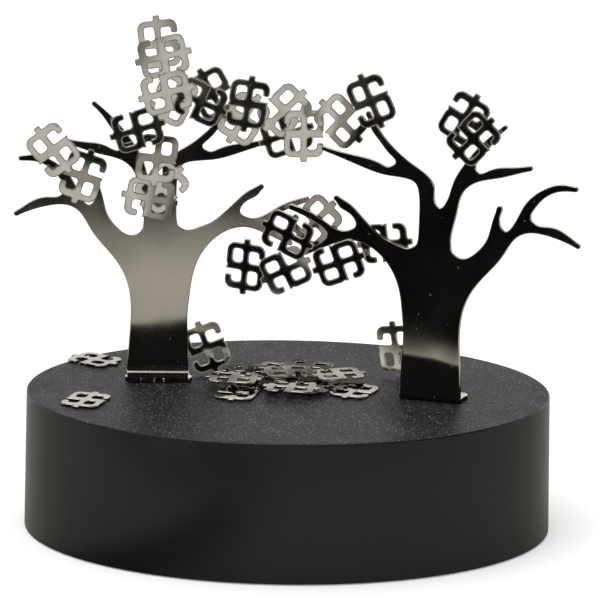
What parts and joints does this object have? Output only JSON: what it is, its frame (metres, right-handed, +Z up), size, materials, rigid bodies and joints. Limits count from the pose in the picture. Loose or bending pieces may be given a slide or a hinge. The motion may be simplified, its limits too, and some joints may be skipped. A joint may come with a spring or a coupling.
{
  "type": "magnetic desk sculpture",
  "caption": "Desk toy with an oval black base holding magnets, two flat steel trees that stand on it, and loose dollar-sign steel pieces that cling to the trees and base.",
  "frame": {"origin": "middle of the base, on the desk plane, which is the underside of the rubber pad", "axes": "+X to the right along the long side of the base, +Y away from the front, +Z up"},
  "size_m": [0.1389, 0.0988, 0.1273],
  "materials": {
    "black_plastic": "fine textured moulded top, smooth satin side",
    "tree_steel": "bright warm nickel plate with dust specks and hairline scratches",
    "plated_steel": "bright warm nickel plate on tumbled stampings with soft edges",
    "ferrite": "dark grey sintered ferrite",
    "screw_steel": "zinc plated",
    "rubber": "matt black foam rubber"
  },
  "bodies": {
    "base": {"base_cover": "black_plastic", "base_shell": "black_plastic", "cover_screws": "screw_steel", "foot_pad": "rubber", "magnet_centre": "ferrite", "magnet_left": "ferrite", "magnet_right": "ferrite"},
    "left_tree": {"tree_left": "tree_steel"},
    "right_tree": {"tree_right": "tree_steel"},
    "left_crown_sign_1": {"left_crown_sign_1": "plated_steel"},
    "left_crown_sign_2": {"left_crown_sign_2": "plated_steel"},
    "left_crown_sign_3": {"left_crown_sign_3": "plated_steel"},
    "left_crown_sign_4": {"left_crown_sign_4": "plated_steel"},
    "left_fork_sign_1": {"left_fork_sign_1": "plated_steel"},
    "left_fork_sign_2": {"left_fork_sign_2": "plated_steel"},
    "left_fork_sign_3": {"left_fork_sign_3": "plated_steel"},
    "left_fork_sign_4": {"left_fork_sign_4": "plated_steel"},
    "left_inner_sign_1": {"left_inner_sign_1": "plated_steel"},
    "left_inner_sign_2": {"left_inner_sign_2": "plated_steel"},
    "left_outer_sign_1": {"left_outer_sign_1": "plated_steel"},
    "left_outer_sign_2": {"left_outer_sign_2": "plated_steel"},
    "left_tip_sign_1": {"left_tip_sign_1": "plated_steel"},
    "left_tip_sign_2": {"left_tip_sign_2": "plated_steel"},
    "left_tip_sign_3": {"left_tip_sign_3": "plated_steel"},
    "left_twig_sign_1": {"left_twig_sign_1": "plated_steel"},
    "left_twig_sign_2": {"left_twig_sign_2": "plated_steel"},
    "loose_sign_1": {"loose_sign_1": "plated_steel"},
    "loose_sign_2": {"loose_sign_2": "plated_steel"},
    "pile_sign_01": {"pile_sign_01": "plated_steel"},
    "pile_sign_02": {"pile_sign_02": "plated_steel"},
    "pile_sign_03": {"pile_sign_03": "plated_steel"},
    "pile_sign_04": {"pile_sign_04": "plated_steel"},
    "pile_sign_05": {"pile_sign_05": "plated_steel"},
    "pile_sign_06": {"pile_sign_06": "plated_steel"},
    "pile_sign_07": {"pile_sign_07": "plated_steel"},
    "pile_sign_08": {"pile_sign_08": "plated_steel"},
    "pile_sign_09": {"pile_sign_09": "plated_steel"},
    "pile_sign_10": {"pile_sign_10": "plated_steel"},
    "pile_sign_11": {"pile_sign_11": "plated_steel"},
    "pile_sign_12": {"pile_sign_12": "plated_steel"},
    "right_bough_sign_1": {"right_bough_sign_1": "plated_steel"},
    "right_bough_sign_2": {"right_bough_sign_2": "plated_steel"},
    "right_bough_sign_3": {"right_bough_sign_3": "plated_steel"},
    "right_bough_sign_4": {"right_bough_sign_4": "plated_steel"},
    "right_bough_sign_5": {"right_bough_sign_5": "plated_steel"},
    "right_bough_sign_6": {"right_bough_sign_6": "plated_steel"},
    "right_crown_sign_1": {"right_crown_sign_1": "plated_steel"},
    "right_crown_sign_2": {"right_crown_sign_2": "plated_steel"},
    "right_inner_sign_1": {"right_inner_sign_1": "plated_steel"},
    "right_inner_sign_2": {"right_inner_sign_2": "plated_steel"},
    "standing_sign_1": {"standing_sign_1": "plated_steel"},
    "standing_sign_2": {"standing_sign_2": "plated_steel"}
  },
  "joints": [
    {"name": "left_tree_lift", "type": "slide", "parent": "base", "child": "left_tree", "axis": [0, 0, 1], "range_m": [0, 0.03]},
    {"name": "right_tree_lift", "type": "slide", "parent": "base", "child": "right_tree", "axis": [0, 0, 1], "range_m": [0, 0.03]},
    {"name": "left_crown_sign_1_slide", "type": "slide", "parent": "left_tree", "child": "left_crown_sign_1", "axis": [0.0156, 0.0014, 0.9999], "range_m": [0, 0.01]},
    {"name": "left_crown_sign_2_slide", "type": "slide", "parent": "left_tree", "child": "left_crown_sign_2", "axis": [0.0156, 0.0014, 0.9999], "range_m": [0, 0.008]},
    {"name": "left_crown_sign_3_pull", "type": "slide", "parent": "left_tree", "child": "left_crown_sign_3", "axis": [0.0872, -0.9962, 0], "range_m": [0, 0.01]},
    {"name": "left_crown_sign_4_slide", "type": "slide", "parent": "left_tree", "child": "left_crown_sign_4", "axis": [0.9961, 0.0871, -0.0157], "range_m": [0, 0.006]},
    {"name": "left_fork_sign_1_slide", "type": "slide", "parent": "left_tree", "child": "left_fork_sign_1", "axis": [-0.9961, -0.0871, 0.0157], "range_m": [0, 0.008]},
    {"name": "left_fork_sign_2_slide", "type": "slide", "parent": "left_tree", "child": "left_fork_sign_2", "axis": [-0.9961, -0.0871, 0.0157], "range_m": [0, 0.008]},
    {"name": "left_fork_sign_3_slide", "type": "slide", "parent": "left_tree", "child": "left_fork_sign_3", "axis": [-0.0156, -0.0014, -0.9999], "range_m": [0, 0.008]},
    {"name": "left_fork_sign_4_slide", "type": "slide", "parent": "left_tree", "child": "left_fork_sign_4", "axis": [0.9961, 0.0871, -0.0157], "range_m": [0, 0.008]},
    {"name": "left_inner_sign_1_slide", "type": "slide", "parent": "left_tree", "child": "left_inner_sign_1", "axis": [0.0156, 0.0014, 0.9999], "range_m": [0, 0.008]},
    {"name": "left_inner_sign_2_slide", "type": "slide", "parent": "left_tree", "child": "left_inner_sign_2", "axis": [-0.0156, -0.0014, -0.9999], "range_m": [0, 0.006]},
    {"name": "left_outer_sign_1_pull", "type": "slide", "parent": "left_tree", "child": "left_outer_sign_1", "axis": [0.0872, -0.9962, 0], "range_m": [0, 0.01]},
    {"name": "left_outer_sign_2_slide", "type": "slide", "parent": "left_tree", "child": "left_outer_sign_2", "axis": [-0.0156, -0.0014, -0.9999], "range_m": [0, 0.008]},
    {"name": "left_tip_sign_1_slide", "type": "slide", "parent": "left_tree", "child": "left_tip_sign_1", "axis": [0.0156, 0.0014, 0.9999], "range_m": [0, 0.008]},
    {"name": "left_tip_sign_2_pull", "type": "slide", "parent": "left_tree", "child": "left_tip_sign_2", "axis": [0.0872, -0.9962, 0], "range_m": [0, 0.006]},
    {"name": "left_tip_sign_3_slide", "type": "slide", "parent": "left_tree", "child": "left_tip_sign_3", "axis": [-0.0156, -0.0014, -0.9999], "range_m": [0, 0.008]},
    {"name": "left_twig_sign_1_pull", "type": "slide", "parent": "left_tree", "child": "left_twig_sign_1", "axis": [0.0872, -0.9962, 0], "range_m": [0, 0.01]},
    {"name": "left_twig_sign_2_slide", "type": "slide", "parent": "left_tree", "child": "left_twig_sign_2", "axis": [-0.0156, -0.0014, -0.9999], "range_m": [0, 0.008]},
    {"name": "loose_sign_1_lift", "type": "slide", "parent": "base", "child": "loose_sign_1", "axis": [0, 0, 1], "range_m": [0, 0.015]},
    {"name": "loose_sign_2_lift", "type": "slide", "parent": "base", "child": "loose_sign_2", "axis": [0, 0, 1], "range_m": [0, 0.015]},
    {"name": "pile_sign_01_slide", "type": "slide", "parent": "base", "child": "pile_sign_01", "axis": [-0.3, -0.9539, 0], "range_m": [0, 0.01]},
    {"name": "pile_sign_02_slide", "type": "slide", "parent": "base", "child": "pile_sign_02", "axis": [-1, 0, 0], "range_m": [0, 0.008]},
    {"name": "pile_sign_03_slide", "type": "slide", "parent": "base", "child": "pile_sign_03", "axis": [0.5, -0.866, 0], "range_m": [0, 0.004]},
    {"name": "pile_sign_04_slide", "type": "slide", "parent": "base", "child": "pile_sign_04", "axis": [0, 1, 0], "range_m": [0, 0.01]},
    {"name": "pile_sign_05_slide", "type": "slide", "parent": "base", "child": "pile_sign_05", "axis": [-1, 0, 0], "range_m": [0, 0.006]},
    {"name": "pile_sign_06_lift", "type": "slide", "parent": "base", "child": "pile_sign_06", "axis": [0, 0, 1], "range_m": [0, 0.015]},
    {"name": "pile_sign_07_slide", "type": "slide", "parent": "base", "child": "pile_sign_07", "axis": [0, -1, 0], "range_m": [0, 0.01]},
    {"name": "pile_sign_08_slide", "type": "slide", "parent": "base", "child": "pile_sign_08", "axis": [0.3, 0.9539, 0], "range_m": [0, 0.008]},
    {"name": "pile_sign_09_slide", "type": "slide", "parent": "base", "child": "pile_sign_09", "axis": [0, -1, 0], "range_m": [0, 0.008]},
    {"name": "pile_sign_10_slide", "type": "slide", "parent": "base", "child": "pile_sign_10", "axis": [0, -1, 0], "range_m": [0, 0.01]},
    {"name": "pile_sign_11_slide", "type": "slide", "parent": "base", "child": "pile_sign_11", "axis": [0.3, -0.9539, 0], "range_m": [0, 0.008]},
    {"name": "pile_sign_12_slide", "type": "slide", "parent": "base", "child": "pile_sign_12", "axis": [0, -1, 0], "range_m": [0, 0.01]},
    {"name": "right_bough_sign_1_pull", "type": "slide", "parent": "right_tree", "child": "right_bough_sign_1", "axis": [-0.2756, -0.9613, 0], "range_m": [0, 0.01]},
    {"name": "right_bough_sign_2_slide", "type": "slide", "parent": "right_tree", "child": "right_bough_sign_2", "axis": [-0.9613, 0.2756, 0], "range_m": [0, 0.008]},
    {"name": "right_bough_sign_3_slide", "type": "slide", "parent": "right_tree", "child": "right_bough_sign_3", "axis": [0, 0, -1], "range_m": [0, 0.008]},
    {"name": "right_bough_sign_4_slide", "type": "slide", "parent": "right_tree", "child": "right_bough_sign_4", "axis": [0, 0, -1], "range_m": [0, 0.008]},
    {"name": "right_bough_sign_5_pull", "type": "slide", "parent": "right_tree", "child": "right_bough_sign_5", "axis": [0.2756, 0.9613, 0], "range_m": [0, 0.008]},
    {"name": "right_bough_sign_6_pull", "type": "slide", "parent": "right_tree", "child": "right_bough_sign_6", "axis": [0.2756, 0.9613, 0], "range_m": [0, 0.008]},
    {"name": "right_crown_sign_1_slide", "type": "slide", "parent": "right_tree", "child": "right_crown_sign_1", "axis": [0, 0, 1], "range_m": [0, 0.008]},
    {"name": "right_crown_sign_2_pull", "type": "slide", "parent": "right_tree", "child": "right_crown_sign_2", "axis": [-0.2756, -0.9613, 0], "range_m": [0, 0.01]},
    {"name": "right_inner_sign_1_slide", "type": "slide", "parent": "right_tree", "child": "right_inner_sign_1", "axis": [0, 0, -1], "range_m": [0, 0.008]},
    {"name": "right_inner_sign_2_pull", "type": "slide", "parent": "right_tree", "child": "right_inner_sign_2", "axis": [-0.2756, -0.9613, 0], "range_m": [0, 0.01]},
    {"name": "standing_sign_1_lift", "type": "slide", "parent": "base", "child": "standing_sign_1", "axis": [0, 0, 1], "range_m": [0, 0.015]},
    {"name": "standing_sign_2_lift", "type": "slide", "parent": "base", "child": "standing_sign_2", "axis": [0, 0, 1], "range_m": [0, 0.015]}
  ]
}
